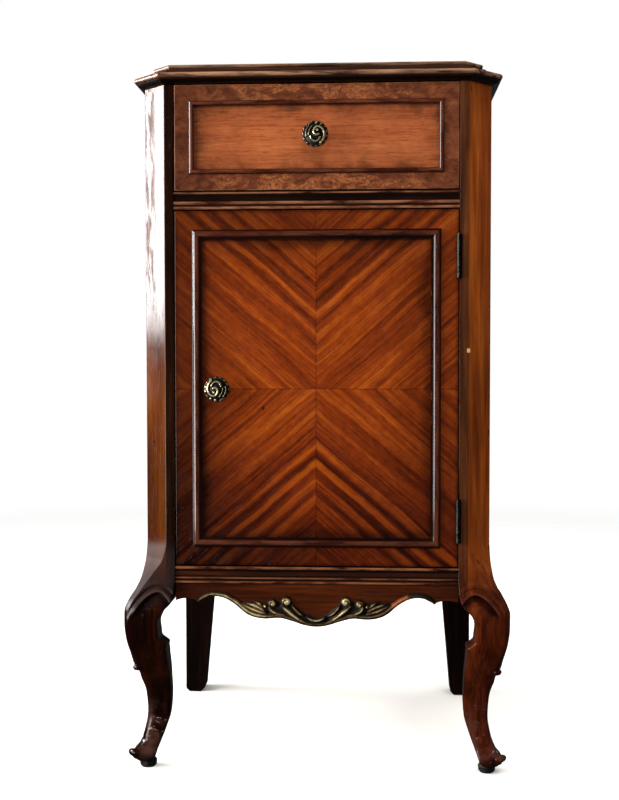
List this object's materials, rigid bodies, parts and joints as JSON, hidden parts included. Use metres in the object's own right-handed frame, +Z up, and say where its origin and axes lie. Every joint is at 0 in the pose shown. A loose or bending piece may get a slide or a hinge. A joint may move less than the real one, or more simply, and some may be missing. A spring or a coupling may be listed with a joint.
{
  "type": "bedside cabinet",
  "caption": "Small bedside cabinet with a drawer above a hinged door, canted front corners and carved cabriole front legs.",
  "frame": {"origin": "on the floor, under the middle of the whole object's box", "axes": "+Z up, -Y out of the front (drawer and door), +X to the right seen from the front"},
  "size_m": [0.4368, 0.3644, 0.8],
  "materials": {
    "steel": "dull, darkened with age",
    "antique_brass": "cast, dark in the hollows",
    "plain_brass": "satin",
    "gilt_carving": "carved wood with worn antique gilding",
    "pad_black": "ebonised",
    "veneer_drawer": "polished straight-grained veneer with a cross-banded border",
    "veneer_door": "polished quarter-matched striped veneer",
    "moulding_dark": "dark polished",
    "top_dark": "dark polished, worn edges",
    "mahogany_leg": "dark glossy mahogany",
    "rail_dark": "dark polished, worn crests",
    "mahogany_side": "polished mahogany",
    "pale_carcass_wood": "unpolished secondary wood"
  },
  "bodies": {
    "carcass": {"top_board": "top_dark", "cornice_front": "top_dark", "cornice_back": "top_dark", "cornice_corner_left": "top_dark", "cornice_corner_right": "top_dark", "cornice_side_left": "top_dark", "cornice_side_right": "top_dark", "front_leg_left": "mahogany_leg", "front_leg_right": "mahogany_leg", "foot_pad_left": "pad_black", "foot_pad_right": "pad_black", "back_leg_left": "mahogany_side", "back_leg_right": "mahogany_side", "side_panel_left": "mahogany_side", "side_panel_right": "mahogany_side", "back_panel": "pale_carcass_wood", "back_rail_top": "pale_carcass_wood", "back_rail_bottom": "pale_carcass_wood", "mid_rail": "rail_dark", "bottom_rail": "rail_dark", "apron": "rail_dark", "apron_carving": "gilt_carving", "cupboard_floor": "pale_carcass_wood", "dust_board": "pale_carcass_wood", "drawer_runner_left": "pale_carcass_wood", "drawer_runner_right": "pale_carcass_wood", "drawer_guide_left": "pale_carcass_wood", "drawer_guide_right": "pale_carcass_wood", "drawer_stops": "pale_carcass_wood", "shelf": "pale_carcass_wood", "shelf_battens": "pale_carcass_wood", "door_stop": "pale_carcass_wood", "glue_blocks": "pale_carcass_wood", "hinge_post_leaves": "steel", "hinge_pins": "steel", "hinge_screws_post": "steel", "strike_plate": "plain_brass"},
    "drawer": {"drawer_front": "veneer_drawer", "drawer_bead_top": "moulding_dark", "drawer_bead_bottom": "moulding_dark", "drawer_bead_left": "moulding_dark", "drawer_bead_right": "moulding_dark", "drawer_side_left": "pale_carcass_wood", "drawer_side_right": "pale_carcass_wood", "drawer_back": "pale_carcass_wood", "drawer_bottom": "pale_carcass_wood", "drawer_knob": "antique_brass", "drawer_knob_screw": "steel"},
    "door": {"door_panel": "veneer_door", "door_moulding_top": "moulding_dark", "door_moulding_bottom": "moulding_dark", "door_moulding_left": "moulding_dark", "door_moulding_right": "moulding_dark", "door_knob": "antique_brass", "door_knob_screw": "steel", "hinge_door_leaves": "steel", "hinge_screws_door": "steel", "catch_case": "plain_brass", "catch_spring": "steel"},
    "catch_ball": {"catch_ball": "steel"}
  },
  "joints": [
    {"name": "drawer_slide", "type": "slide", "parent": "carcass", "child": "drawer", "axis": [0, -1, 0], "range_m": [0, 0.22]},
    {"name": "door_hinge", "type": "hinge", "parent": "carcass", "child": "door", "pos_m": [0.16, -0.1613, 0.434], "axis": [0, 0, 1], "range_deg": [0, 170]},
    {"name": "catch_press", "type": "slide", "parent": "door", "child": "catch_ball", "axis": [1, 0, 0], "range_m": [-0.0008, 0.0006], "stiffness_N_per_m": 300, "springref_m": -0.0008, "deforming": ["catch_spring"]}
  ]
}
